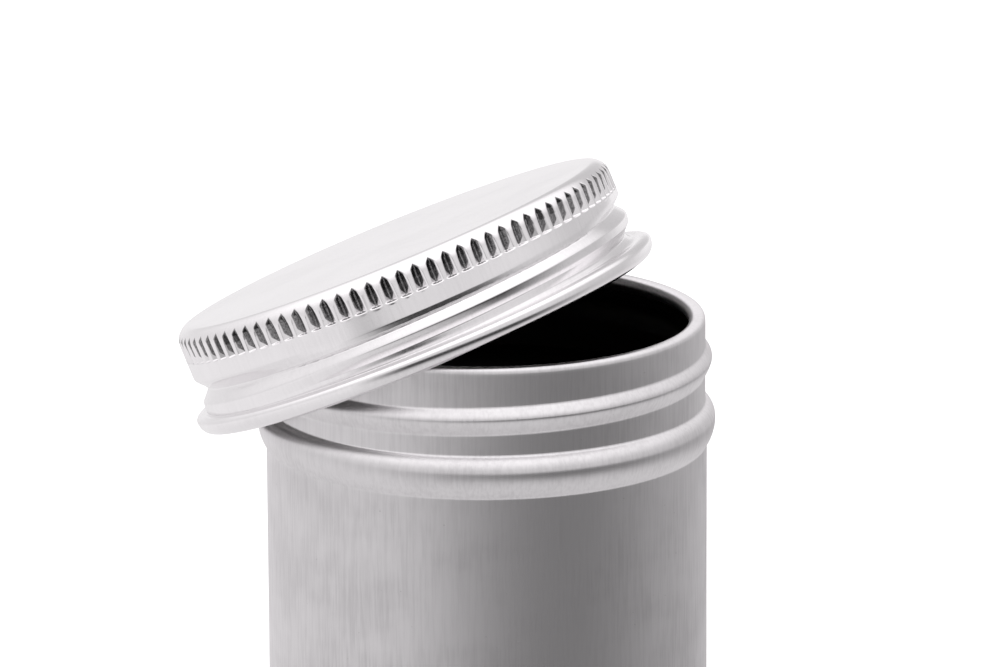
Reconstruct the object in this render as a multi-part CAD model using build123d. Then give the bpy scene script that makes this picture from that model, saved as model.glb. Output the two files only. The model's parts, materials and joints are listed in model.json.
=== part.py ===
from build123d import *

import os
from math import acos, cos, degrees, hypot, pi, radians, sin, sqrt

# A screw-top aluminium tin, stood open, with its lid lying askew across the mouth.
# Millimetres, +Z up. The origin is the middle of the base, on the tin's own axis.
# The front of the tin faces -Y, and +X is to the right of someone who looks at the front.
# The tin is one drawn cup of thin sheet. Its rim is rolled inwards, a thread ridge is rolled
# out of its neck, and a bead is rolled out under the neck. The lid is a second sheet, with a
# knurled band to grip, the matching thread pressed in, and its hem rolled outwards.
# Angles round an axis are in degrees from the front, counter-clockwise seen from above.

# Tin; a drop is measured down from the top of the rim
tin_height = 65.0
body_radius = 34.0
tin_sheet = 0.45
neck_step = 0.25
rim_roll_radius = 1.3
bead_top_drop = 13.6
bead_crest_drop = 16.4
bead_foot_drop = 20.1
bead_rise = 1.3
base_corner_radius = 2.0
base_ring_width = 4.0
base_recess = 0.6
base_recess_slope_width = 1.6

# Right-handed thread of one pitch, a ridge on the neck and a groove in the lid
thread_pitch = 4.9
thread_play = 0.1
ridge_height = 1.0
ridge_half_width = 2.1
ridge_front_drop = 7.8
ridge_first_angle = -100.0
ridge_last_angle = 150.0
ridge_end_share = 0.72

# Lid; a depth is measured down from its top
lid_height = 16.45
lid_sheet = 0.35
lid_corner_radius = 2.5
hem_roll_radius = 1.45
hem_roll_inset = 0.52
groove_depth = 1.55
groove_half_width = 1.7
groove_front_depth = 8.9
groove_first_angle = -335.0
groove_last_angle = 125.0
groove_end_share = 2.5

# Knurled grip round the top of the lid: V-shaped flutes, and ridges just below the lid's wall
flute_count = 90
flute_depth = 0.55
flute_foot_depth = 5.2
flute_ridge_drop = 0.05

# Liner, a loose foam disc under the top of the lid
liner_thickness = 2.2
liner_play = 0.3

# How the lid lies on the open tin: how far it leans, towards where, and the gap at its seats
lean_angle = 23.0
lean_heading = 162.1
seat_gap = 0.15

# Reach of a cutting shape past what it cuts
overrun = 1.0
# The rim's roll is drawn as a solid bead, which shows this angle of arc
rim_turn = 225.0
# Straight facets that stand for each round stretch of a profile
rim_facets = 5
hem_facets = 5
bead_outer_facets = 2
bead_inner_facets = 1
corner_facets = 2

neck_radius = body_radius - neck_step
bead_crest_radius = body_radius + bead_rise
# The back of the pressed groove just clears the neck that it screws over
lid_radius = neck_radius + thread_play + groove_depth + lid_sheet
rim_roll_height = tin_height - rim_roll_radius
rim_ring_radius = neck_radius - rim_roll_radius
hem_ring_radius = lid_radius - lid_sheet + hem_roll_radius - hem_roll_inset
hem_ring_height = hem_roll_radius - lid_height
liner_face_height = -(lid_sheet + liner_thickness)


def turned(edges):
    """Solid of revolution about the Z axis from a closed outline in (radius, height)."""
    return revolve(Plane.XZ * make_face(Wire(edges)), Axis.Z)


def faceted(arc, count):
    """The arc as straight facets whose corners lie on it."""
    return Polyline(*[arc @ (step / count) for step in range(count + 1)])


def bead_half(plain_radius, edge_drop, inset, facets):
    """One half of the bead, from its crest to the plain wall above or below it."""
    rise = bead_crest_radius - plain_radius
    drop = abs(bead_crest_drop - edge_drop)
    curve = (rise**2 + drop**2) / (2 * rise)
    centre = (bead_crest_radius - curve, tin_height - bead_crest_drop)
    turn = degrees(acos((plain_radius - inset - centre[0]) / (curve - inset)))
    arc = CenterArc(centre, curve - inset, 0, turn if edge_drop < bead_crest_drop else -turn)
    return faceted(arc, facets)


def drawn_cup():
    """The tin with its base recess, bead and rolled rim, before its thread is rolled."""
    ring_outer = body_radius - base_corner_radius
    ring_inner = ring_outer - base_ring_width
    recess_edge = ring_inner - base_recess_slope_width
    floor = base_recess + tin_sheet
    wall = body_radius - tin_sheet
    neck = neck_radius - tin_sheet
    corner = CenterArc((ring_outer, base_corner_radius), base_corner_radius, 270, 90)
    corner = faceted(corner, corner_facets)
    lower_bead = bead_half(body_radius, bead_foot_drop, 0, bead_outer_facets)
    upper_bead = bead_half(neck_radius, bead_top_drop, 0, bead_outer_facets)
    rim = faceted(CenterArc((rim_ring_radius, rim_roll_height), rim_roll_radius, 0, rim_turn), rim_facets)
    rim_end = rim @ 1
    neck_top = (neck, rim_end.Y - (neck - rim_end.X))
    upper_inside = bead_half(neck_radius, bead_top_drop, tin_sheet, bead_inner_facets)
    lower_inside = bead_half(body_radius, bead_foot_drop, tin_sheet, bead_inner_facets)
    base = Polyline((0, base_recess), (recess_edge, base_recess), (ring_inner, 0), (ring_outer, 0))
    inside = Polyline(
        lower_inside @ 1,
        (wall, base_corner_radius),
        (ring_outer, tin_sheet),
        (ring_inner, tin_sheet),
        (recess_edge, floor),
        (0, floor),
        (0, base_recess),
    )
    return turned(
        [
            *base.edges(),
            *corner.edges(),
            Line((body_radius, base_corner_radius), lower_bead @ 1),
            *lower_bead.edges(),
            *upper_bead.edges(),
            Line(upper_bead @ 1, (neck_radius, rim_roll_height)),
            *rim.edges(),
            Line(rim_end, neck_top),
            Line(neck_top, upper_inside @ 1),
            *upper_inside.edges(),
            *lower_inside.edges(),
            *inside.edges(),
        ]
    )


def lid_cap():
    """Top and wall of the lid, down to where its hem starts."""
    top_edge = lid_radius - lid_corner_radius
    wall = lid_radius - lid_sheet
    band = lid_radius - flute_depth - lid_sheet
    band_foot = -(flute_foot_depth + lid_sheet)
    corner = faceted(CenterArc((top_edge, -lid_corner_radius), lid_corner_radius, 90, -90), corner_facets)
    rest = Polyline(
        (lid_radius, -lid_corner_radius),
        (lid_radius, hem_ring_height),
        (wall, hem_ring_height),
        (wall, band_foot - (wall - band)),
        (band, band_foot),
        (band, -lid_sheet - (band - top_edge)),
        (top_edge, -lid_sheet),
        (0, -lid_sheet),
        (0, 0),
        (top_edge, 0),
    )
    return turned([*corner.edges(), *rest.edges()])


def rolled_hem():
    """The hem, a round bead that runs from the foot of the lid's wall out and back up to it."""
    wall = lid_radius - lid_sheet
    middle = (hem_ring_radius, hem_ring_height)
    reach = degrees(acos((lid_radius - hem_ring_radius) / hem_roll_radius))
    roll = faceted(CenterArc(middle, hem_roll_radius, -reach, 2 * reach), hem_facets)
    start, end = roll @ 0, roll @ 1
    rest = Polyline(end, (wall, end.Y), (wall, start.Y + (start.X - wall)), start)
    return turned([*roll.edges(), *rest.edges()])


def wave_section(wall, height, half_width, side, back):
    """Cross-section in (radius, height) of a V-shaped wave, which spreads at one slope behind its wall.

    wall is the radius of the face that the wave leaves, and side is +1 outwards, -1 inwards.
    """
    spread = half_width * (1 + back / height)
    behind = wall - side * back
    return make_face(Polyline((wall + side * height, 0), (behind, spread), (behind, -spread), close=True))


def thread_path(wall, first_angle, last_angle, front_height, end_share, shift):
    """Right-handed helix on the wall, whose two ends leave it along arcs of another radius.

    shift is how far from the wall's radius an end has moved where it stops.
    """
    turns = (last_angle - first_angle) / 360
    helix = Helix(thread_pitch, thread_pitch * turns, wall)
    helix = Pos(0, 0, front_height + thread_pitch * first_angle / 360) * Rot(0, 0, first_angle - 90) * helix
    bend = end_share * wall
    length = sqrt(2 * shift / abs(1 / bend - 1 / wall))

    def run_out(point, direction):
        inward = Vector(-point.X, -point.Y, 0).normalized()

        def at(distance):
            angle = distance / bend
            return point + direction * (bend * sin(angle)) + inward * (bend * (1 - cos(angle)))

        return [point, at(length / 2), at(length)]

    lead_in = ThreePointArc(*reversed(run_out(helix @ 0, -(helix % 0))))
    lead_out = ThreePointArc(*run_out(helix @ 1, helix % 1))
    return Wire([lead_in, helix, lead_out])


def swept_wave(section, path, wall):
    """The wave's section, drawn at wall's radius from the axis, carried along the path."""
    start = path @ 0
    outward = (path % 0).cross(Vector(0, 0, 1)).normalized()
    plane = Plane(origin=start - outward * wall, x_dir=outward, z_dir=-(path % 0))
    return sweep(plane * section, path=path, is_frenet=True)


def tin_body():
    """The cup with its thread ridge: a wave of the whole sheet, rolled outwards."""
    path = thread_path(
        neck_radius,
        ridge_first_angle,
        ridge_last_angle,
        tin_height - ridge_front_drop,
        ridge_end_share,
        ridge_height + tin_sheet,
    )
    outside = wave_section(neck_radius, ridge_height, ridge_half_width, 1, tin_sheet)
    inside = wave_section(neck_radius - tin_sheet, ridge_height, ridge_half_width, 1, overrun)
    ridge = swept_wave(outside, path, neck_radius)
    core = Cylinder(neck_radius - tin_sheet / 2, tin_height, align=(Align.CENTER, Align.CENTER, Align.MIN))
    return drawn_cup() + (ridge - core) - swept_wave(inside, path, neck_radius)


def knurl_cutter():
    """All that lies outside the knurl's outline, from the foot of the flutes to above the lid."""
    pitch = 360 / flute_count
    corners = []
    for index in range(flute_count):
        corners.append(Vector(lid_radius - flute_depth, 0).rotate(Axis.Z, pitch * index))
        corners.append(Vector(lid_radius - flute_ridge_drop, 0).rotate(Axis.Z, pitch * (index + 1 / 2)))
    outside = Circle(lid_radius + overrun) - make_face(Polyline(*corners, close=True))
    return Pos(0, 0, -flute_foot_depth) * extrude(outside, flute_foot_depth + overrun)


def lid_shell():
    """The lid in its own frame: its axis is Z, and its top lies at height 0."""
    path = thread_path(
        lid_radius,
        groove_first_angle,
        groove_last_angle,
        -groove_front_depth,
        groove_end_share,
        groove_depth + lid_sheet,
    )
    outside = wave_section(lid_radius, groove_depth, groove_half_width, -1, overrun)
    inside = wave_section(lid_radius - lid_sheet, groove_depth, groove_half_width, -1, lid_sheet)
    downwards = (Align.CENTER, Align.CENTER, Align.MAX)
    core = Cylinder(lid_radius - lid_sheet / 2, -hem_ring_height, align=downwards)
    rib = swept_wave(inside, path, lid_radius) & core
    groove = swept_wave(outside, path, lid_radius)
    return lid_cap() - knurl_cutter() + rib - groove + rolled_hem()


def lid_liner():
    """The foam disc, in the lid's frame, face to face with the underside of its top."""
    radius = lid_radius - lid_corner_radius - liner_play
    disc = Cylinder(radius, liner_thickness, align=(Align.CENTER, Align.CENTER, Align.MAX))
    return Pos(0, 0, -lid_sheet) * disc


def lid_rise(offset):
    """Height of the lid's top when the liner rests on the rim at the low side.

    offset is how far the middle of the top lies from the tin's axis, towards the low side.
    """
    lean = radians(lean_angle)
    clear = liner_face_height - rim_roll_radius - seat_gap
    return rim_roll_height - (clear - (rim_ring_radius - offset) * sin(lean)) / cos(lean)


def hem_to_rim(offset):
    """Least distance between the middle circles of the hem's bead and the rim's bead."""
    lean = radians(lean_angle)
    rise = lid_rise(offset)

    def distance(turn):
        along = hem_ring_radius * cos(turn)
        out = offset + along * cos(lean) + hem_ring_height * sin(lean)
        across = hem_ring_radius * sin(turn)
        height = rise - along * sin(lean) + hem_ring_height * cos(lean)
        return hypot(hypot(out, across) - rim_ring_radius, height - rim_roll_height)

    steps = 720
    return min(distance(pi * step / steps) for step in range(steps))


def lid_offset():
    """Where the leaning lid comes to rest: its hem then lies on the rim on both sides too."""
    seat = hem_roll_radius + rim_roll_radius + seat_gap
    near_share, far_share = 0.25, 0.65
    near, far = near_share * lid_radius, far_share * lid_radius
    for _ in range(40):
        middle = (near + far) / 2
        if hem_to_rim(middle) > seat:
            near = middle
        else:
            far = middle
    return near


def lid_place():
    """Placement of the lid's own frame as it lies on the tin."""
    offset = lid_offset()
    heading = radians(lean_heading)
    position = Pos(offset * cos(heading), offset * sin(heading), lid_rise(offset))
    return position * Rot(0, 0, lean_heading) * Rot(0, lean_angle, 0) * Rot(0, 0, -lean_heading)


def write_parts():
    """One STEP file for each piece, in the part's frame."""
    place = lid_place()
    pieces = {"tin_body": tin_body(), "lid_shell": place * lid_shell(), "lid_liner": place * lid_liner()}
    os.makedirs("parts", exist_ok=True)
    for name, solid in pieces.items():
        export_step(solid, f"parts/{name}.step")


write_parts()
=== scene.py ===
import json
import logging
import math
from dataclasses import dataclass, replace
from enum import Enum, IntEnum
from typing import Iterable, Mapping, Sequence, Union

import bpy
import numpy as np
from mathutils import Matrix, Vector


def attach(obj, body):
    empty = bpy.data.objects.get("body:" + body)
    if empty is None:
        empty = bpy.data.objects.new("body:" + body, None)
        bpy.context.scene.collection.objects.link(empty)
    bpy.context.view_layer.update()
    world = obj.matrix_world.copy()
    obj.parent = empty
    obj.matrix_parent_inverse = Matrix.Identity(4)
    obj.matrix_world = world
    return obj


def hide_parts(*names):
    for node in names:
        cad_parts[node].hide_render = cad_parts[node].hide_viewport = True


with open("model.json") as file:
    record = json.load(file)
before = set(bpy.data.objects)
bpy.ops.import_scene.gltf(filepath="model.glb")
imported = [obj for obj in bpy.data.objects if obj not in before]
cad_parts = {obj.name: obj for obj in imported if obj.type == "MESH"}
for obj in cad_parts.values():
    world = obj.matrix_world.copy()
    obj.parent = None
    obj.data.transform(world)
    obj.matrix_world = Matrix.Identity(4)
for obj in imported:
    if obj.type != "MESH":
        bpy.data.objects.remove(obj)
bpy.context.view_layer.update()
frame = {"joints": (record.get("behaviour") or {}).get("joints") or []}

MM = 0.001
LOG = logging.getLogger("tin")

Rows = Sequence[tuple[float, float]]
Colour = tuple[float, float, float]
Grain = tuple[float, float, float]
Socket = bpy.types.NodeSocket
Tint = Union[Colour, Socket]
Length = Union[float, np.ndarray]

# Most values of a noise lie between these two.
NOISE_LOW, NOISE_HIGH = 0.3, 0.7


class Level(Enum):
    """Which way a thread wave stands from its wall."""

    OUT = 1
    IN = -1


class Coat(IntEnum):
    """Which of its piece's materials covers a face. Only the tin has an inner one."""

    OUTER = 0
    INNER = 1


@dataclass(frozen=True)
class Number:
    """A number carried by a shader socket. Arithmetic on it adds Math nodes."""

    graph: "Graph"
    socket: Socket

    def __add__(self, other: Union["Number", float]) -> "Number":
        """Sum."""
        return self.graph.math("ADD", self, other)

    def __radd__(self, other: float) -> "Number":
        """Sum, from the right."""
        return self.graph.math("ADD", other, self)

    def __sub__(self, other: Union["Number", float]) -> "Number":
        """Difference."""
        return self.graph.math("SUBTRACT", self, other)

    def __rsub__(self, other: float) -> "Number":
        """Difference, from the right."""
        return self.graph.math("SUBTRACT", other, self)

    def __mul__(self, other: Union["Number", float]) -> "Number":
        """Product."""
        return self.graph.math("MULTIPLY", self, other)

    def __rmul__(self, other: float) -> "Number":
        """Product, from the right."""
        return self.graph.math("MULTIPLY", other, self)

    def __truediv__(self, other: Union["Number", float]) -> "Number":
        """Quotient."""
        return self.graph.math("DIVIDE", self, other)

    def ramp(self, low: float, high: float, start: float = 0.0, end: float = 1.0) -> "Number":
        """Ease smoothly from start to end as the number goes from low to high.

        Args:
            low: Where the result is still start.
            high: Where the result has become end.
            start: Result below low.
            end: Result above high.

        Returns:
            The eased number.
        """
        settings = {"interpolation_type": "SMOOTHSTEP"}
        inputs = {"Value": self, "From Min": low, "From Max": high, "To Min": start, "To Max": end}
        return self.graph.number("ShaderNodeMapRange", settings, inputs)


class Graph:
    """A node tree that is being filled."""

    def __init__(self, tree: bpy.types.NodeTree) -> None:
        """Start from an empty tree."""
        self.tree = tree
        tree.nodes.clear()

    def node(
        self, kind: str, settings: Mapping[str, object], inputs: Mapping[object, object]
    ) -> bpy.types.Node:
        """Add a node of any kind.

        Args:
            kind: The node's type.
            settings: Its properties, set first. Stops are a colour ramp's places and values.
            inputs: Values or links for its sockets, by name or index.

        Returns:
            The new node.
        """
        node = self.tree.nodes.new(kind)
        for name, value in settings.items():
            if name == "stops":
                self.set_stops(node.color_ramp.elements, value)
            else:
                setattr(node, name, value)
        for key, value in inputs.items():
            if isinstance(value, Number):
                value = value.socket
            if isinstance(value, Socket):
                self.tree.links.new(value, node.inputs[key])
            else:
                node.inputs[key].default_value = value
        return node

    @staticmethod
    def set_stops(elements: bpy.types.ColorRampElements, stops: Rows) -> None:
        """Give a colour ramp its stops.

        Args:
            elements: The ramp's own list.
            stops: Place and grey value of each stop, in order.
        """
        while len(elements) < len(stops):
            elements.new(1.0)
        for element, (place, value) in zip(elements, stops):
            element.position = place
            element.color = (value, value, value, 1.0)

    def number(
        self,
        kind: str,
        settings: Mapping[str, object],
        inputs: Mapping[object, object],
        output: object = 0,
    ) -> Number:
        """Add a node and take one of its results, by name or index, as a number."""
        return Number(self, self.node(kind, settings, inputs).outputs[output])

    def math(self, operation: str, *operands: Union[Number, float]) -> Number:
        """Add one Math node, with the operands in its sockets in order."""
        return self.number("ShaderNodeMath", {"operation": operation}, dict(enumerate(operands)))

    def axes(self, output: str) -> tuple[Number, Number, Number]:
        """Coordinates, one number for each axis.

        Args:
            output: Which of the texture coordinates.

        Returns:
            The coordinates along x, y and z.
        """
        place = self.node("ShaderNodeTexCoord", {}, {}).outputs[output]
        parts = self.node("ShaderNodeSeparateXYZ", {}, {0: place})
        return tuple(Number(self, parts.outputs[axis]) for axis in "XYZ")

    def stretched(self, scale: Grain) -> Socket:
        """The piece's own coordinates in metres, multiplied axis by axis.

        Args:
            scale: Factor for each axis.

        Returns:
            The stretched coordinates.
        """
        place = self.node("ShaderNodeTexCoord", {}, {}).outputs["Object"]
        node = self.node("ShaderNodeVectorMath", {"operation": "MULTIPLY"}, {0: place, 1: scale})
        return node.outputs[0]

    def noise(self, scale: Grain, detail: float = 2.0, roughness: float = 0.5) -> Number:
        """Noise whose grain has its own size along each axis.

        Args:
            scale: Grains per metre along each axis.
            detail: Octaves of finer grain.
            roughness: Share that each finer octave keeps.

        Returns:
            The noise, about 0 to 1.
        """
        inputs = {
            "Vector": self.stretched(scale),
            "Scale": 1.0,
            "Detail": detail,
            "Roughness": roughness,
        }
        return self.number("ShaderNodeTexNoise", {"noise_dimensions": "3D"}, inputs)

    def cells(self, scale: Grain) -> bpy.types.Node:
        """Scattered cells: a node with the distance to the nearest one's middle, and its colour."""
        inputs = {"Vector": self.stretched(scale), "Scale": 1.0}
        return self.node("ShaderNodeTexVoronoi", {"feature": "F1"}, inputs)

    def pits(self, spacing: float, radius: float, empty: float) -> Number:
        """Scattered round pits of different sizes.

        Args:
            spacing: Typical distance between pits.
            radius: Radius of the largest pit.
            empty: Share of the places that have no pit.

        Returns:
            1 inside a pit and 0 outside, eased over a third of the largest radius.
        """
        cells = self.cells((1 / spacing,) * 3)
        pick = self.number("ShaderNodeSeparateColor", {}, {"Color": cells.outputs["Color"]}, "Red")
        reach = pick.ramp(empty, 1.0) * (radius / spacing)
        edge = radius / spacing / 3
        return (reach - Number(self, cells.outputs["Distance"])).ramp(0.0, edge)

    def bump(self, relief: Number, depth: float, strength: float = 1.0) -> Socket:
        """The normal as a relief tilts it, whose height is counted in depths of so many metres."""
        inputs = {"Strength": strength, "Distance": depth, "Height": relief}
        return self.node("ShaderNodeBump", {}, inputs).outputs[0]

    def mix(self, share: Number, low: Tint, high: Tint) -> Socket:
        """Blend two colours.

        Args:
            share: Share of the second colour.
            low: Colour at 0, or a link to it.
            high: Colour at 1, or a link to it.

        Returns:
            The blended colour.
        """
        ends = [end if isinstance(end, Socket) else (*end, 1.0) for end in (low, high)]
        inputs = {0: share, 6: ends[0], 7: ends[1]}
        return self.node("ShaderNodeMix", {"data_type": "RGBA"}, inputs).outputs[2]


class Finish:
    """A material with one Principled shader."""

    name: str

    def sockets(self, graph: Graph) -> dict[str, object]:
        """Values and links of the shader's sockets. Each finish has its own."""
        raise NotImplementedError

    def material(self) -> bpy.types.Material:
        """Build the material.

        Returns:
            The material.
        """
        made = bpy.data.materials.new(self.name)
        made.use_nodes = True
        graph = Graph(made.node_tree)
        shader = graph.node("ShaderNodeBsdfPrincipled", {}, self.sockets(graph))
        graph.node("ShaderNodeOutputMaterial", {}, {"Surface": shader.outputs[0]})
        return made


@dataclass(frozen=True, kw_only=True)
class Aluminium(Finish):
    """Bare satin aluminium with an upright brush grain, small pits and faint rubs."""

    name: str
    colour: Colour
    stain: Colour
    least_roughness: float
    grain_depth: float
    pit_spacing: float
    brushed: float
    fine_grain: Grain = (5200.0, 5200.0, 1300.0)
    brush_grain: Grain = (2200.0, 2200.0, 130.0)
    rub_grain: Grain = (60.0, 60.0, 90.0)
    pit_radius: float = 0.14 * MM
    pit_depths: float = 1.5
    empty_share: float = 0.35
    brush_roughness: float = 0.10
    rub_roughness: float = 0.06
    pit_roughness: float = 0.15
    brush_stain: float = 0.4
    rub_stain: float = 0.4
    rub_span: tuple[float, float] = (0.35, 0.7)
    pit_stain: float = 0.6
    full_stain: float = 1.2

    def sockets(self, graph: Graph) -> dict[str, object]:
        """Set the shader of bare metal.

        Args:
            graph: The tree to add to.

        Returns:
            Values and links of the shader's sockets.
        """
        fine = graph.noise(self.fine_grain, detail=2.0, roughness=0.6)
        brush = graph.noise(self.brush_grain, detail=3.0, roughness=0.6)
        rubs = graph.noise(self.rub_grain, detail=3.0, roughness=0.55)
        pits = graph.pits(self.pit_spacing, self.pit_radius, self.empty_share)
        rough = brush * self.brush_roughness + rubs * self.rub_roughness
        return {
            "Metallic": 1.0,
            "Anisotropic": self.brushed,
            "Base Color": self.metal(graph, self.stained(rubs, brush, pits)),
            "Roughness": rough + pits * self.pit_roughness + self.least_roughness,
            "Normal": graph.bump(fine + brush - pits * self.pit_depths, self.grain_depth),
        }

    def metal(self, graph: Graph, tone: Number) -> Socket:
        """Colour of the metal, from the share of stain on it."""
        return graph.mix(tone, self.colour, self.stain)

    def stained(self, rubs: Number, brush: Number, pits: Number) -> Number:
        """How much of the stain shows.

        Args:
            rubs: Broad patches.
            brush: Brush grain.
            pits: Scattered pits.

        Returns:
            A share from 0 to 1.
        """
        patches = rubs.ramp(*self.rub_span) * self.rub_stain
        lines = brush.ramp(NOISE_LOW, NOISE_HIGH) * self.brush_stain
        return (patches + lines + pits * self.pit_stain).ramp(0.0, self.full_stain)


@dataclass(frozen=True, kw_only=True)
class KnurledAluminium(Aluminium):
    """Aluminium with painted shade in its pressed flutes: a dark mottled colour laid into them
    stands in for their shade and dark reflections.
    """

    flute_painted_shade: Colour
    flute_count: int
    flute_half_share: float
    flute_side_fade: float
    flute_top: float
    flute_top_fade: tuple[float, float]
    flute_foot: float
    flute_foot_fade: float
    flute_foot_share: float
    flute_foot_edge: float
    mottle_grain: Grain
    mottle_least: float

    def metal(self, graph: Graph, tone: Number) -> Socket:
        """Colour of the metal, with painted shade darkening the flutes.

        Args:
            graph: The tree to add to.
            tone: Share of the stain.

        Returns:
            The colour.
        """
        plain = super().metal(graph, tone)
        spots = graph.noise(self.mottle_grain, detail=2.0, roughness=0.6)
        mottle = spots.ramp(NOISE_LOW, NOISE_HIGH, self.mottle_least, 1.0)
        # Painted shade: the flutes get a dark mottled colour in place of their shade and dark
        # reflections.
        return graph.mix(self.flutes(graph) * mottle, plain, self.flute_painted_shade)

    def flutes(self, graph: Graph) -> Number:
        """Where the flutes are, which is where the painted shade goes.

        Args:
            graph: The tree to add to.

        Returns:
            1 inside a flute and 0 elsewhere.
        """
        x, y, z = graph.axes("Object")
        turn = graph.math("ARCTAN2", x, y * -1.0)
        # Counted so that each flute's middle lies half way between two whole numbers.
        pitches = turn * (self.flute_count / (2 * math.pi)) + (self.flute_count + 0.5)
        off = graph.math("ABSOLUTE", graph.math("FRACT", pitches) - 0.5)
        above = z - self.flute_foot
        top = (self.flute_top - z).ramp(*self.flute_top_fade)
        foot = above.ramp(0.0, self.flute_foot_fade, self.flute_foot_share, 1.0)
        foot = foot * above.ramp(0.0, self.flute_foot_edge)
        return (top * foot * self.flute_half_share - off).ramp(0.0, self.flute_side_fade)


@dataclass(frozen=True)
class Lacquer(Finish):
    """The black stove lacquer inside the tin."""

    name: str
    colour: Colour
    least_roughness: float
    peel_grain: Grain = (700.0, 700.0, 700.0)
    peel_depth: float = 0.01 * MM
    peel_strength: float = 0.5
    peel_roughness: float = 0.05
    flow_grain: Grain = (40.0, 40.0, 260.0)
    flow_roughness: float = 0.12
    deep_share: float = 0.6
    gloss: float = 0.25

    def sockets(self, graph: Graph) -> dict[str, object]:
        """Set the shader of a thin black coat.

        Args:
            graph: The tree to add to.

        Returns:
            Values and links of the shader's sockets.
        """
        peel = graph.noise(self.peel_grain)
        flow = graph.noise(self.flow_grain)
        deeper = tuple(self.deep_share * part for part in self.colour)
        rough = flow * self.flow_roughness + peel * self.peel_roughness
        return {
            "Specular IOR Level": self.gloss,
            "Base Color": graph.mix(flow.ramp(NOISE_LOW, NOISE_HIGH), self.colour, deeper),
            "Roughness": rough + self.least_roughness,
            "Normal": graph.bump(peel, self.peel_depth, self.peel_strength),
        }


@dataclass(frozen=True)
class Foam(Finish):
    """Closed-cell foam: matt and off-white, with a skin of fine cells."""

    name: str
    colour: Colour
    shade: Colour
    cell_grain: Grain = (2600.0, 2600.0, 2600.0)
    cell_depth: float = 0.05 * MM
    # How much painted shade darkens the hollows between the cells.
    cell_strength: float = 0.6
    cell_shade: float = 0.5
    soil_grain: Grain = (90.0, 90.0, 90.0)
    soil_span: tuple[float, float] = (0.4, 0.8)
    soil_shade: float = 0.4
    soil_roughness: float = 0.1
    least_roughness: float = 0.8

    def sockets(self, graph: Graph) -> dict[str, object]:
        """Set the shader of the liner.

        Args:
            graph: The tree to add to.

        Returns:
            Values and links of the shader's sockets.
        """
        cell = Number(graph, graph.cells(self.cell_grain).outputs["Distance"])
        soil = graph.noise(self.soil_grain, detail=3.0)
        # Painted shade: the colour darkens away from each cell's middle, in the hollows of the cell
        # relief; the soil noise adds real soiling.
        shade = cell * self.cell_shade + soil.ramp(*self.soil_span) * self.soil_shade
        return {
            "Base Color": graph.mix(shade.ramp(0.0, 1.0), self.colour, self.shade),
            "Roughness": soil * self.soil_roughness + self.least_roughness,
            "Normal": graph.bump(1.0 - cell, self.cell_depth, self.cell_strength),
        }


BODY_METAL = Aluminium(
    name="tin_aluminium",
    colour=(0.82, 0.805, 0.815),
    stain=(0.66, 0.645, 0.655),
    least_roughness=0.34,
    grain_depth=0.004 * MM,
    pit_spacing=1.6 * MM,
    brushed=0.9,
)
LID_METAL = KnurledAluminium(
    name="lid_aluminium",
    colour=(0.88, 0.865, 0.875),
    stain=(0.80, 0.785, 0.795),
    least_roughness=0.08,
    grain_depth=0.002 * MM,
    pit_spacing=2.6 * MM,
    brushed=0.0,
    # The flutes' dark colour is painted shade and painted dark reflection, not a colour of the
    # metal.
    flute_painted_shade=(0.12, 0.118, 0.12),
    flute_count=90,
    flute_half_share=0.29,
    flute_side_fade=0.06,
    flute_top=-0.9 * MM,
    flute_top_fade=(-0.2 * MM, 0.9 * MM),
    flute_foot=-4.95 * MM,
    flute_foot_fade=1.2 * MM,
    flute_foot_share=0.3,
    flute_foot_edge=0.15 * MM,
    mottle_grain=(5200.0, 5200.0, 3400.0),
    mottle_least=0.7,
)
BLACK = Lacquer("black_lacquer", (0.006, 0.0045, 0.0045), 0.34)
WHITE_FOAM = Foam("liner_foam", (0.84, 0.84, 0.81), (0.66, 0.66, 0.62))


def smooth_step(value: np.ndarray, low: float, high: float) -> np.ndarray:
    """Ease from 0 at low to 1 at high."""
    share = np.clip((value - low) / (high - low), 0.0, 1.0)
    return share * share * (3.0 - 2.0 * share)


def soft_least(one: np.ndarray, other: np.ndarray, round_over: float) -> np.ndarray:
    """The lesser of two surfaces, with the edge between them rounded over."""
    return (one + other - np.sqrt((one - other) ** 2 + round_over**2)) / 2


@dataclass(frozen=True)
class Thread:
    """A rolled thread: one wave of the sheet that climbs round its wall.

    Angles are degrees from the front, counter-clockwise from above. The wave's crest lies at
    front_height in front, and fades in after first_angle and out before last_angle. The halves
    are its reach up and down from the crest, the rounds soften the crest, and foot_round is a
    share of the height that softens both feet.
    """

    front_height: float
    first_angle: float
    last_angle: float
    fade_in: float
    fade_out: float
    height: float
    upper_half: float
    lower_half: float
    upper_round: float
    lower_round: float
    foot_round: float
    level: Level
    pitch: float = 4.9 * MM

    def rise(self, angle: np.ndarray, height: np.ndarray) -> np.ndarray:
        """How far the wave moves the wall.

        Args:
            angle: Degrees from the front, counter-clockwise from above.
            height: Height on the wall.

        Returns:
            Radial movement, outwards positive.
        """
        total = np.zeros(np.broadcast(angle, height).shape)
        for turn in (-1, 0, 1):
            along = angle + 360.0 * turn
            share = smooth_step(along, self.first_angle, self.first_angle + self.fade_in)
            gone = smooth_step(along, self.last_angle - self.fade_out, self.last_angle)
            share = share * (1.0 - gone)
            off = height - self.front_height - self.pitch * along / 360.0
            half = np.where(off > 0, self.upper_half, self.lower_half)
            crest = np.where(off > 0, self.upper_round, self.lower_round)
            away = (np.sqrt(off**2 + crest**2) - crest) / half
            left = 1.0 - away
            left = (left + np.sqrt(left**2 + self.foot_round**2)) / 2
            left = left - self.foot_round**2 / 4 / np.maximum(away + 1.0, 1.0)
            total = total + share * np.maximum(left, 0.0)
        return total * self.height * self.level.value


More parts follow.
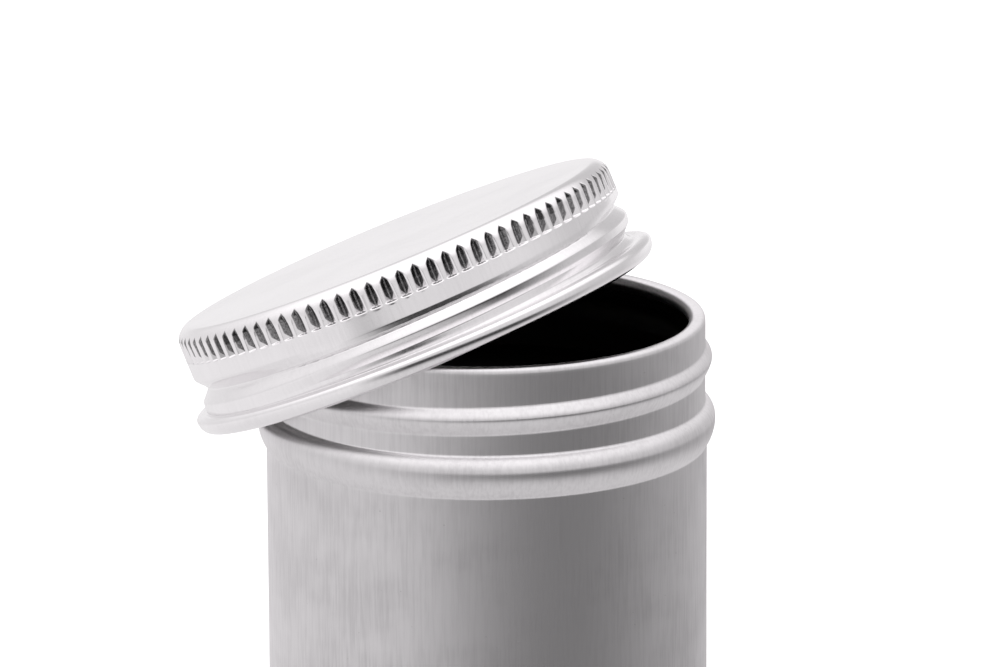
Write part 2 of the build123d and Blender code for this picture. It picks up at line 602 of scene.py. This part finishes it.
class Lathe:
    """A closed sheet that is turned from rings of points."""

    def __init__(self, columns: int) -> None:
        """Set how many points each ring has.

        Args:
            columns: Points round one ring.
        """
        self.columns = columns
        self.angles = np.arange(columns) * 360.0 / columns
        self.rings: list[np.ndarray] = []
        self.coats: list[int] = []

    def ring(self, radius: Length, height: Length, coat: Coat = Coat.OUTER) -> None:
        """Add a ring of points.

        Args:
            radius: Distance from the axis, for all points or for each.
            height: Height, for all points or for each.
            coat: Which material covers the faces up to the next ring.
        """
        turn = np.radians(self.angles)
        points = np.zeros((self.columns, 3))
        points[:, 0] = radius * np.sin(turn)
        points[:, 1] = -radius * np.cos(turn)
        points[:, 2] = height
        self.rings.append(points)
        self.coats.append(int(coat))

    def bend(
        self,
        radius: float,
        height: float,
        size: float,
        turns: Iterable[float],
        coat: Coat = Coat.OUTER,
    ) -> None:
        """Add rings along an arc.

        Args:
            radius: Distance of the arc's middle from the axis.
            height: Height of the arc's middle.
            size: Radius of the arc.
            turns: Place of each ring, in degrees up from the outward direction.
            coat: Which material covers the faces after each ring.
        """
        for turn in turns:
            across = size * math.cos(math.radians(turn))
            self.ring(radius + across, height + size * math.sin(math.radians(turn)), coat)

    def flat(self, radius: float, shares: Sequence[float], height: float) -> None:
        """Add rings across a flat face, which has the outer material."""
        for share in shares:
            self.ring(share * radius, height)

    def mesh(self, name: str, inward: bool = False) -> bpy.types.Mesh:
        """Join the rings, with a pole at the middle of the first and of the last.

        Args:
            name: Name of the mesh.
            inward: True where the rings run down the outside, which turns the faces round.

        Returns:
            A closed mesh, shaded smooth.
        """
        count, wide = len(self.rings), self.columns
        outermost = (self.rings[0], self.rings[-1])
        poles = [np.array([[0.0, 0.0, ring[:, 2].mean()]]) for ring in outermost]
        points = np.concatenate([*self.rings, *poles])
        here = np.arange(wide)
        beside = (here + 1) % wide
        last = (count - 1) * wide
        quads = np.stack([here, beside, beside + wide, here + wide], axis=1)
        quads = (quads[None] + (np.arange(count - 1) * wide)[:, None, None]).reshape(-1, 4)
        start = np.stack([np.full(wide, count * wide), beside, here], axis=1)
        end = np.stack([np.full(wide, count * wide + 1), here + last, beside + last], axis=1)
        corners = np.concatenate([quads.ravel(), start.ravel(), end.ravel()]).astype(np.int32)
        sizes = np.concatenate([np.full(len(quads), 4), np.full(2 * wide, 3)]).astype(np.int32)
        starts = np.concatenate([[0], np.cumsum(sizes)[:-1]]).astype(np.int32)
        coats = np.repeat([*self.coats[:-1], self.coats[0], self.coats[-1]], wide)
        mesh = bpy.data.meshes.new(name)
        mesh.vertices.add(len(points))
        mesh.vertices.foreach_set("co", points.astype(np.float32).ravel())
        mesh.loops.add(len(corners))
        mesh.loops.foreach_set("vertex_index", corners)
        mesh.polygons.add(len(sizes))
        mesh.polygons.foreach_set("loop_start", starts)
        mesh.polygons.foreach_set("loop_total", sizes)
        mesh.polygons.foreach_set("material_index", coats.astype(np.int32))
        mesh.polygons.foreach_set("use_smooth", np.ones(len(sizes), dtype=bool))
        mesh.update(calc_edges=True)
        mesh.validate()
        if inward:
            mesh.flip_normals()
        return mesh


def place_piece(
    mesh: bpy.types.Mesh,
    finishes: Sequence[Finish],
    body: str,
    node: str,
    place: Matrix,
) -> bpy.types.Object:
    """Put a mesh in the scene in place of the plain piece.

    Args:
        mesh: The finished mesh, in its own frame.
        finishes: Its materials, in the order of its coats.
        body: The moving body that carries it.
        node: The plain piece that it stands for.
        place: Where the mesh's frame lies.

    Returns:
        The new object.
    """
    piece = bpy.data.objects.new(mesh.name, mesh)
    bpy.context.scene.collection.objects.link(piece)
    for finish in finishes:
        mesh.materials.append(finish.material())
    piece.matrix_world = place
    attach(piece, body)
    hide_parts(node)
    return piece


@dataclass(frozen=True)
class TinBody:
    """The drawn cup: base, wall, bead, threaded neck and rolled rim.

    The rim's roll goes from outwards over its top to curl_end, in degrees. curl_square is the
    power that squares its outer quarter, and its last curl_lacquered degrees are black.
    """

    height: float = 65.0 * MM
    radius: float = 34.0 * MM
    sheet: float = 0.45 * MM
    neck_radius: float = 33.75 * MM
    bead_top: float = 51.4 * MM
    bead_crest: float = 48.8 * MM
    bead_foot: float = 44.9 * MM
    bead_radius: float = 35.3 * MM
    bead_fillet: float = 0.1 * MM
    fillet_samples: int = 8
    corner: float = 2.0 * MM
    corner_rows: int = 15
    inner_corner_rows: int = 10
    ring_width: float = 4.0 * MM
    recess: float = 0.6 * MM
    recess_slope: float = 1.6 * MM
    recess_rows: int = 12
    base_shares: tuple[float, ...] = (0.1, 0.4, 0.7, 0.9)
    rim_roll: float = 1.3 * MM
    curl_square: float = 3.4
    curl_top: float = 90.0
    curl_end: float = 308.0
    curl_outer_step: float = 6.0
    curl_inner_step: float = 7.0
    curl_lacquered: float = 14.0
    columns: int = 576
    wall_step: float = 2.0 * MM
    fine_step: float = 0.15 * MM
    thread: Thread = Thread(
        front_height=57.2 * MM,
        first_angle=-118.0,
        last_angle=168.0,
        fade_in=36.0,
        fade_out=36.0,
        height=1.03 * MM,
        upper_half=1.08 * MM,
        lower_half=1.82 * MM,
        upper_round=0.8 * MM,
        lower_round=0.8 * MM,
        foot_round=0.06,
        level=Level.OUT,
    )

    def plain_radius(self, height: np.ndarray) -> np.ndarray:
        """Outer radius of the wall without its thread.

        Args:
            height: Heights on the wall.

        Returns:
            Radius at each height.
        """
        step = self.bead_fillet / self.fillet_samples
        reach = 2 * self.fillet_samples
        fine = np.arange(self.bead_foot - 2 * self.wall_step, self.height, step)
        lower = self.arc(fine, self.bead_radius - self.radius, self.bead_crest - self.bead_foot)
        upper = self.arc(fine, self.bead_radius - self.neck_radius, self.bead_top - self.bead_crest)
        lower = np.maximum(lower, self.radius)
        wall = np.where(fine < self.bead_crest, lower, np.maximum(upper, self.neck_radius))
        spread = np.arange(-reach, reach + 1) / self.fillet_samples
        kernel = np.exp(-(spread**2) / 2)
        padded = np.pad(wall, reach, mode="edge")
        eased = np.convolve(padded, kernel / kernel.sum(), mode="valid")
        return np.interp(height, fine, eased)

    def arc(self, height: np.ndarray, rise: float, reach: float) -> np.ndarray:
        """Radius along one half of the bead, an arc through its crest and its edge.

        Args:
            height: Heights on the wall.
            rise: How far the crest stands from the wall.
            reach: Height from the crest to the edge.

        Returns:
            Radius at each height.
        """
        curve = (rise**2 + reach**2) / (2 * rise)
        inside = np.maximum(curve**2 - (height - self.bead_crest) ** 2, 0.0)
        return self.bead_radius - curve + np.sqrt(inside)

    def mesh(self) -> bpy.types.Mesh:
        """Turn the cup from the middle of its base, up the outside and down the inside.

        Returns:
            The cup's mesh.
        """
        lathe = Lathe(self.columns)
        foot = self.radius - self.corner
        rim_height = self.height - self.rim_roll
        for radius, height in self.base_rows(0.0):
            lathe.ring(radius, height)
        lathe.bend(foot, self.corner, self.corner, np.linspace(-90.0, 0.0, self.corner_rows))
        first, last = self.corner + self.wall_step, self.bead_foot - self.wall_step
        coarse = np.arange(first, last, self.wall_step)
        fine = np.arange(coarse[-1] + self.wall_step, rim_height, self.fine_step)
        for height in [*coarse, *fine]:
            wave = self.thread.rise(lathe.angles, height)
            lathe.ring(self.plain_radius(height) + wave, height)
        self.curl(lathe, self.neck_radius - self.rim_roll, rim_height)
        inner_top = rim_height + self.rim_roll * math.sin(math.radians(self.curl_end))
        fine = np.arange(coarse[-1] + self.wall_step, inner_top, 2 * self.fine_step)
        for height in [*fine[::-1], *coarse[::-1]]:
            wave = self.thread.rise(lathe.angles, height)
            lathe.ring(self.plain_radius(height) - self.sheet + wave, height, Coat.INNER)
        turns = np.linspace(0.0, -90.0, self.inner_corner_rows)
        lathe.bend(foot, self.corner, self.corner - self.sheet, turns, Coat.INNER)
        for radius, height in reversed(self.base_rows(self.sheet)):
            lathe.ring(radius, height, Coat.INNER)
        return lathe.mesh("tin_cup")

    def curl(self, lathe: Lathe, middle: float, height: float) -> None:
        """Roll the rim: a squarish quarter outside, then round and back into the mouth.

        Args:
            lathe: What is being turned.
            middle: Distance of the roll's middle from the axis.
            height: Height of the roll's middle.
        """
        for turn in np.radians(np.arange(0.0, self.curl_top, self.curl_outer_step)):
            lathe.ring(
                middle + self.rim_roll * math.cos(turn) ** (2 / self.curl_square),
                height + self.rim_roll * math.sin(turn) ** (2 / self.curl_square),
            )
        turns = np.arange(self.curl_top, self.curl_end, self.curl_inner_step)
        black = turns > self.curl_end - self.curl_lacquered
        lathe.bend(middle, height, self.rim_roll, turns[~black])
        lathe.bend(middle, height, self.rim_roll, turns[black], Coat.INNER)

    def base_rows(self, lift: float) -> Rows:
        """Radius and height of the base's rows, from the middle to its ring.

        Args:
            lift: Height above the base's outer face.

        Returns:
            The rows.
        """
        ring_inner = self.radius - self.corner - self.ring_width
        flat = ring_inner - self.recess_slope
        rows = [(share * flat, self.recess + lift) for share in self.base_shares]
        for share in np.linspace(0.0, 1.0, self.recess_rows):
            eased = float(smooth_step(np.array(share), 0.0, 1.0))
            radius = ring_inner - self.recess_slope * (1 - share)
            rows.append((radius, self.recess * (1 - eased) + lift))
        rows.append((ring_inner + self.ring_width / 2, lift))
        return rows

    def build(self) -> bpy.types.Object:
        """Make the cup and put it in its place."""
        finishes = (BODY_METAL, BLACK)
        return place_piece(self.mesh(), finishes, "tin", "tin_body", Matrix.Identity(4))


@dataclass(frozen=True)
class Knurl:
    """Pressed flutes round the top of the lid, each a V that starts in a point and ends blunt.

    Each row of depths is a height below the lid's top and how deep the flutes are there.
    """

    count: int = 90
    mouth_half: float = 0.86 * MM
    depths: Rows = (
        (-5.5 * MM, -1.0 * MM),
        (-5.1 * MM, 0.0 * MM),
        (-5.02 * MM, 0.8 * MM),
        (-4.94 * MM, 1.02 * MM),
        (-3.0 * MM, 0.93 * MM),
        (-1.9 * MM, 0.8 * MM),
        (-1.3 * MM, 0.62 * MM),
        (-0.8 * MM, 0.5 * MM),
        (0.0 * MM, 0.4 * MM),
    )
    full_depth: float = 0.95 * MM
    valley_round: float = 0.06 * MM
    edge_round: float = 0.05 * MM
    lip: float = 0.03 * MM
    lip_depth: float = -5.2 * MM
    lip_reach: float = 0.17 * MM
    lip_share: float = 0.55

    def radius(self, angle: np.ndarray, height: float, wall: float) -> np.ndarray:
        """Radius of the flutes' surface.

        Args:
            angle: Degrees from the front.
            height: Height below the lid's top, negative.
            wall: Radius of the lid's wall.

        Returns:
            Radius at each angle, far outside the wall where no flute reaches.
        """
        deep = np.interp(height, *zip(*self.depths))
        side = self.side(angle, wall)
        slope = self.full_depth / self.mouth_half
        return wall - deep + slope * (np.sqrt(side**2 + self.valley_round**2) - self.valley_round)

    def side(self, angle: np.ndarray, wall: float) -> np.ndarray:
        """Distance round the wall from the nearest flute's middle."""
        pitch = 360.0 / self.count
        return ((angle / pitch + 0.5) % 1.0 - 0.5) * math.radians(pitch) * wall

    def lips(self, angle: np.ndarray, height: float, wall: float) -> np.ndarray:
        """How far the metal stands out that is pushed up under each flute's foot."""
        across = np.exp(-((self.side(angle, wall) / (self.lip_share * self.mouth_half)) ** 2))
        return self.lip * across * math.exp(-(((height - self.lip_depth) / self.lip_reach) ** 2))


# Over the front, the groove's upper shoulder: a steep ledge with a long slope below it.
SHOULDER = Thread(
    front_height=-8.9 * MM,
    first_angle=-55.0,
    last_angle=85.0,
    fade_in=40.0,
    fade_out=35.0,
    height=0.6 * MM,
    upper_half=0.1 * MM,
    lower_half=1.3 * MM,
    upper_round=0.03 * MM,
    lower_round=0.5 * MM,
    foot_round=0.03,
    level=Level.IN,
)
# A faint crease along that shoulder.
SHOULDER_CREASE = replace(
    SHOULDER,
    front_height=-8.8 * MM,
    height=0.17 * MM,
    upper_half=0.8 * MM,
    lower_half=0.5 * MM,
    lower_round=0.03 * MM,
    foot_round=0.1,
)
# The open groove from the left of the front round the back, falling to the lower turn.
LEFT_GROOVE = Thread(
    front_height=-8.95 * MM,
    first_angle=-330.0,
    last_angle=-15.0,
    fade_in=60.0,
    fade_out=40.0,
    height=1.5 * MM,
    upper_half=1.6 * MM,
    lower_half=1.6 * MM,
    upper_round=0.25 * MM,
    lower_round=0.25 * MM,
    foot_round=0.1,
    level=Level.IN,
)
# The open groove from the right of the front, rising to its end at the back.
RIGHT_GROOVE = replace(
    LEFT_GROOVE,
    first_angle=50.0,
    last_angle=200.0,
    fade_in=35.0,
    upper_half=1.3 * MM,
    lower_half=1.5 * MM,
    upper_round=0.2 * MM,
    lower_round=0.2 * MM,
)
# Over the front, the step down to the hem: below it the wall stays pressed in.
HEM_STEP = Thread(
    front_height=-12.45 * MM,
    first_angle=-48.0,
    last_angle=110.0,
    fade_in=40.0,
    fade_out=60.0,
    height=0.72 * MM,
    upper_half=1.75 * MM,
    lower_half=30.0 * MM,
    upper_round=0.1 * MM,
    lower_round=0.1 * MM,
    foot_round=0.14,
    level=Level.IN,
)
# A faint crease below that step, just above the hem.
HEM_CREASE = replace(
    HEM_STEP,
    front_height=-13.5 * MM,
    height=0.12 * MM,
    upper_half=1.0 * MM,
    lower_half=0.5 * MM,
    upper_round=0.05 * MM,
    lower_round=0.05 * MM,
    foot_round=0.1,
)
LID_THREADS = (SHOULDER, SHOULDER_CREASE, LEFT_GROOVE, RIGHT_GROOVE, HEM_STEP, HEM_CREASE)


@dataclass(frozen=True)
class LidShell:
    """The pressed lid in its own frame: its top lies at height 0, and it hangs down from there.

    The round corner is plain down to corner_knurl_share of its height, and may be fluted below.
    The threads stand whole below wave_full and are gone above wave_none.
    """

    height: float = 16.45 * MM
    radius: float = 35.75 * MM
    sheet: float = 0.35 * MM
    corner: float = 2.5 * MM
    corner_rows: int = 12
    corner_knurl_share: float = 0.84
    top_shares: tuple[float, ...] = (0.1, 0.5, 0.8, 0.95)
    under_shares: tuple[float, ...] = (0.8, 0.4, 0.1)
    hem_roll: float = 1.45 * MM
    hem_inset: float = 0.52 * MM
    hem_upper_share: float = 0.6
    hem_end: float = -225.0
    hem_rows: int = 46
    columns: int = 1440
    knurl: Knurl = Knurl()
    knurl_foot: float = -6.1 * MM
    knurl_step: float = 0.1 * MM
    wall_step: float = 0.06 * MM
    inner_step: float = 0.3 * MM
    wave_full: float = -6.4 * MM
    wave_none: float = -5.2 * MM
    threads: tuple[Thread, ...] = LID_THREADS

    def top_radius(self, height: float, corner: float) -> float:
        """Radius of the rounded corner at a height, or of the wall below it."""
        above = max(height + self.corner, 0.0)
        return self.radius - self.corner + math.sqrt(max(corner**2 - above**2, 0.0))

    def mesh(self) -> bpy.types.Mesh:
        """Turn the lid from the middle of its top, down the outside and up the inside.

        Returns:
            The lid's mesh.
        """
        lathe = Lathe(self.columns)
        flat = self.radius - self.corner
        hem_ring = self.radius - self.sheet + self.hem_roll - self.hem_inset
        hem_upper = self.hem_upper_share * self.hem_roll
        hem_lower = 2 * self.hem_roll - hem_upper
        hem_height = hem_lower - self.height
        lathe.flat(flat, self.top_shares, 0.0)
        knurl_turn = math.degrees(math.asin(self.corner_knurl_share))
        turns = np.linspace(90.0, knurl_turn, self.corner_rows)[:-1]
        lathe.bend(flat, -self.corner, self.corner, turns)
        meet = math.acos((self.radius - hem_ring) / self.hem_roll)
        knurl_top = self.corner * self.corner_knurl_share - self.corner
        wall_foot = hem_height + hem_upper * math.sin(meet)
        grip = np.arange(knurl_top, self.knurl_foot, -self.knurl_step)
        wall = np.arange(self.knurl_foot, wall_foot, -self.wall_step)
        for height in [*grip, *wall]:
            lathe.ring(self.outer(lathe.angles, height), height)
        for turn in np.linspace(meet, math.radians(self.hem_end), self.hem_rows):
            reach = hem_upper if math.sin(turn) > 0 else hem_lower
            across = self.hem_roll * math.cos(turn)
            lathe.ring(hem_ring + across, hem_height + reach * math.sin(turn))
        side = np.arange(hem_height + hem_upper, -self.corner, self.inner_step)
        turns = np.radians(np.linspace(0.0, 90.0, self.corner_rows))
        for height in [*side, *(-self.corner + (self.corner - self.sheet) * np.sin(turns))]:
            lathe.ring(self.inner(lathe.angles, height), height)
        lathe.flat(flat, self.under_shares, -self.sheet)
        return lathe.mesh("lid_cap", inward=True)

    def outer(self, angle: np.ndarray, height: float) -> np.ndarray:
        """Radius of the outer face.

        Args:
            angle: Degrees from the front.
            height: Height, negative.

        Returns:
            Radius at each angle.
        """
        plain = self.top_radius(height, self.corner) + self.wave(angle, height)
        if height < self.knurl_foot:
            return plain
        flutes = self.knurl.radius(angle, height, self.radius)
        lips = self.knurl.lips(angle, height, self.radius)
        return soft_least(plain, flutes, self.knurl.edge_round) + lips

    def inner(self, angle: np.ndarray, height: float) -> np.ndarray:
        """Radius of the inner face, one sheet inside the outer one.

        Args:
            angle: Degrees from the front.
            height: Height, negative.

        Returns:
            Radius at each angle.
        """
        plain = self.top_radius(height, self.corner - self.sheet) + self.wave(angle, height)
        if height < self.knurl_foot:
            return plain
        flutes = self.knurl.radius(angle, height, self.radius) - self.sheet
        return soft_least(plain, flutes, self.knurl.edge_round)

    def wave(self, angle: np.ndarray, height: float) -> np.ndarray:
        """How far the threads move the wall, inwards negative. They fade out under the knurl."""
        share = 1.0 - smooth_step(np.array(height), self.wave_full, self.wave_none)
        return share * sum(thread.rise(angle, height) for thread in self.threads)

    def build(self, place: Matrix) -> bpy.types.Object:
        """Make the lid and put it where its frame lies."""
        return place_piece(self.mesh(), (LID_METAL,), "lid", "lid_shell", place)


@dataclass(frozen=True)
class Liner:
    """The foam disc under the lid's top."""

    radius: float = 32.95 * MM
    thickness: float = 2.2 * MM
    top: float = -0.35 * MM
    edge: float = 0.4 * MM
    edge_rows: int = 7
    edge_share: float = 1.2
    top_shares: tuple[float, ...] = (0.1, 0.5, 0.9)
    under_shares: tuple[float, ...] = (0.8, 0.5, 0.1)
    print_radius: float = 32.0 * MM
    print_half: float = 1.2 * MM
    print_depth: float = 0.12 * MM
    print_rows: int = 16
    columns: int = 360

    def mesh(self) -> bpy.types.Mesh:
        """Turn the disc, with the print that a rim leaves in its lower face.

        Returns:
            The disc's mesh.
        """
        lathe = Lathe(self.columns)
        foot = self.top - self.thickness
        middle = self.radius - self.edge
        lathe.flat(self.radius, self.top_shares, self.top)
        upper = np.linspace(90.0, 0.0, self.edge_rows)
        lathe.bend(middle, self.top - self.edge, self.edge, upper)
        lathe.bend(middle, foot + self.edge, self.edge, -upper[::-1])
        outer = self.radius - self.edge_share * self.edge
        for radius in np.linspace(outer, self.print_radius - 2 * self.print_half, self.print_rows):
            off = (radius - self.print_radius) / self.print_half * 2
            lathe.ring(radius, foot + self.print_depth * math.exp(-(off**2)))
        lathe.flat(self.radius, self.under_shares, foot)
        return lathe.mesh("liner_disc", inward=True)

    def build(self, place: Matrix) -> bpy.types.Object:
        """Make the liner and put it where the lid's frame lies."""
        return place_piece(self.mesh(), (WHITE_FOAM,), "liner", "lid_liner", place)


# What metal sees around it. Each row of a band is an elevation in degrees and how bright the
# room is there. Each row of a share is an azimuth in degrees, 0 in front of the tin and
# positive to the right, and how much of its side band takes the place of the front band.
FRONT_BAND = (
    (-90, 0.72), (-45, 0.74), (-36, 0.66), (-28, 0.42), (-22, 0.05), (-7.5, 0.05),
    (-4, 0.72), (1, 0.8), (14, 0.78), (26, 1.0), (36, 1.12), (50, 1.35),
)
LEFT_BAND = (
    (-90, 0.78), (-45, 0.84), (-25, 0.92), (-8, 0.84), (5, 0.84), (20, 0.95),
    (32, 1.1), (48, 1.35),
)
RIGHT_BAND = (
    (-90, 0.72), (-30, 0.82), (-20, 0.68), (-12, 0.6), (-1, 0.62), (7, 0.66),
    (16, 0.66), (30, 0.95), (50, 1.25),
)
BACK_BAND = (
    (-90, 0.75), (-30, 0.85), (-14, 0.85), (-6, 0.96), (-1, 0.98), (3, 0.72),
    (14, 0.64), (28, 0.62), (40, 1.1), (60, 1.35),
)
LEFT_SHARE = ((-180, 0.0), (-150, 1.0), (-30, 1.0), (-2, 0.0))
RIGHT_SHARE = ((60, 0.0), (100, 1.0), (120, 1.0), (150, 0.0))
BACK_SHARE = ((-180, 1.0), (-150, 0.0), (120, 0.0), (150, 1.0))
SIDE_BANDS = ((LEFT_SHARE, LEFT_BAND), (RIGHT_SHARE, RIGHT_BAND), (BACK_SHARE, BACK_BAND))


@dataclass(frozen=True)
class Lamp:
    """A soft square lamp, which metal doesn't mirror."""

    name: str
    place: tuple[float, float, float]
    power: float
    size: float = 0.9

    def hang(self, aim: Vector) -> None:
        """Hang the lamp.

        Args:
            aim: The point that it lights.
        """
        data = bpy.data.lights.new(self.name, "AREA")
        data.shape = "SQUARE"
        data.size = self.size
        data.energy = self.power
        lamp = bpy.data.objects.new(self.name, data)
        bpy.context.scene.collection.objects.link(lamp)
        lamp.location = self.place
        lamp.rotation_euler = (Vector(self.place) - aim).to_track_quat("Z", "Y").to_euler()
        lamp.visible_glossy = False


@dataclass(frozen=True)
class Studio:
    """Floor, soft light, surroundings and camera.

    The world is white to the camera, and world_light of that where it lights matt surfaces.
    """

    floor_size: float = 8.0
    floor_colour: Colour = (0.86, 0.86, 0.86)
    floor_glow: Colour = (0.45, 0.45, 0.45)
    lamps: tuple[Lamp, ...] = (
        Lamp("key_lamp", (-0.7, -0.5, 1.3), 9.0),
        Lamp("fill_lamp", (0.9, -0.3, 1.0), 4.5),
    )
    world_colour: Colour = (1.0, 0.985, 0.995)
    world_light: float = 0.65
    focal_pixels: float = 7000.0
    image_width_pixels: float = 1000.0
    sensor: float = 36.0
    far_clip: float = 100.0
    distance: float = 1077.1 * MM
    elevation: float = 14.328
    roll: float = -0.311
    aim: tuple[float, float, float] = (2.143 * MM, 0.0, 61.832 * MM)

    def floor(self) -> None:
        """Lay the floor. It glows for the camera alone, so that it shows nearly white."""
        half = self.floor_size / 2
        corners = [(-half, -half, 0), (half, -half, 0), (half, half, 0), (-half, half, 0)]
        mesh = bpy.data.meshes.new("floor")
        mesh.from_pydata(corners, [], [(0, 1, 2, 3)])
        floor = bpy.data.objects.new("floor", mesh)
        bpy.context.scene.collection.objects.link(floor)
        material = bpy.data.materials.new("pale_floor")
        material.use_nodes = True
        graph = Graph(material.node_tree)
        camera = graph.number("ShaderNodeLightPath", {}, {}, "Is Camera Ray")
        inputs = {
            "Base Color": (*self.floor_colour, 1.0),
            "Roughness": 1.0,
            "Specular IOR Level": 0.0,
            "Emission Color": graph.mix(camera, (0.0, 0.0, 0.0), self.floor_glow),
            "Emission Strength": 1.0,
        }
        shader = graph.node("ShaderNodeBsdfPrincipled", {}, inputs)
        graph.node("ShaderNodeOutputMaterial", {}, {"Surface": shader.outputs[0]})
        mesh.materials.append(material)
        floor.visible_glossy = False

    def surroundings(self) -> None:
        """Fill the world: white to the camera, and to metal a room with a dark band in front."""
        world = bpy.data.worlds.new("studio")
        world.use_nodes = True
        bpy.context.scene.world = world
        graph = Graph(world.node_tree)
        x, y, z = graph.axes("Generated")
        elevation = graph.math("ARCSINE", z) / math.pi + 0.5
        azimuth = graph.math("ARCTAN2", x, y * -1.0) / (2 * math.pi) + 0.5
        front = self.ramp(graph, elevation, 180.0, FRONT_BAND)
        seen = front
        for share_stops, stops in SIDE_BANDS:
            share = self.ramp(graph, azimuth, 360.0, share_stops)
            seen = seen + (self.ramp(graph, elevation, 180.0, stops) - front) * share
        glossy = graph.number("ShaderNodeLightPath", {}, {}, "Is Glossy Ray")
        camera = graph.number("ShaderNodeLightPath", {}, {}, "Is Camera Ray")
        plain = camera * (1.0 - self.world_light) + self.world_light
        strength = seen * glossy + (1.0 - glossy) * plain
        inputs = {"Color": (*self.world_colour, 1.0), "Strength": strength}
        background = graph.node("ShaderNodeBackground", {}, inputs)
        graph.node("ShaderNodeOutputWorld", {}, {"Surface": background.outputs[0]})

    @staticmethod
    def ramp(graph: Graph, place: Number, span: float, stops: Rows) -> Number:
        """A value that goes by straight stretches from stop to stop.

        Args:
            graph: The tree to add to.
            place: Angle as a share of the span, 0.5 at zero degrees.
            span: Degrees from 0 to 1.
            stops: Angles in degrees and the value at each.

        Returns:
            The value.
        """
        places = [(degrees / span + 0.5, value) for degrees, value in stops]
        node = graph.node("ShaderNodeValToRGB", {"stops": places}, {"Fac": place})
        return graph.number("ShaderNodeSeparateColor", {}, {"Color": node.outputs["Color"]}, "Red")

    def camera(self) -> None:
        """Set the camera where the photograph was taken from."""
        data = bpy.data.cameras.new("camera")
        data.sensor_width = self.sensor
        data.lens = self.focal_pixels * self.sensor / self.image_width_pixels
        data.clip_end = self.far_clip
        camera = bpy.data.objects.new("camera", data)
        bpy.context.scene.collection.objects.link(camera)
        rise = math.radians(self.elevation)
        back = Vector((0.0, -math.cos(rise), math.sin(rise)))
        roll = Matrix.Rotation(math.radians(self.roll), 3, "Z")
        turned = (back.to_track_quat("Z", "Y").to_matrix() @ roll).to_4x4()
        camera.matrix_world = Matrix.Translation(Vector(self.aim) + self.distance * back) @ turned
        bpy.context.scene.camera = camera

    def build(self) -> None:
        """Set up everything that isn't part of the object."""
        self.floor()
        for lamp in self.lamps:
            lamp.hang(Vector(self.aim))
        self.surroundings()
        self.camera()
        bpy.context.scene.view_settings.view_transform = "Standard"


def lid_place() -> Matrix:
    """Where the lid's frame lies, read from the joint that the lid turns on.

    Returns:
        A turn that leans the lid, and a move to the middle of its top.
    """
    joint = next(joint for joint in frame["joints"] if joint["name"] == "lid_turn")
    lean = Vector((0.0, 0.0, 1.0)).rotation_difference(Vector(joint["axis"]))
    return Matrix.Translation(Vector(joint["pos_m"])) @ lean.to_matrix().to_4x4()


def main() -> None:
    """Build the tin, its lid and liner, and the studio round them."""
    logging.basicConfig(level=logging.INFO, format="%(message)s")
    place = lid_place()
    for piece in (TinBody().build(), LidShell().build(place), Liner().build(place)):
        LOG.info("%s: %d faces", piece.name, len(piece.data.polygons))
    Studio().build()


if __name__ == "__main__":
    main()
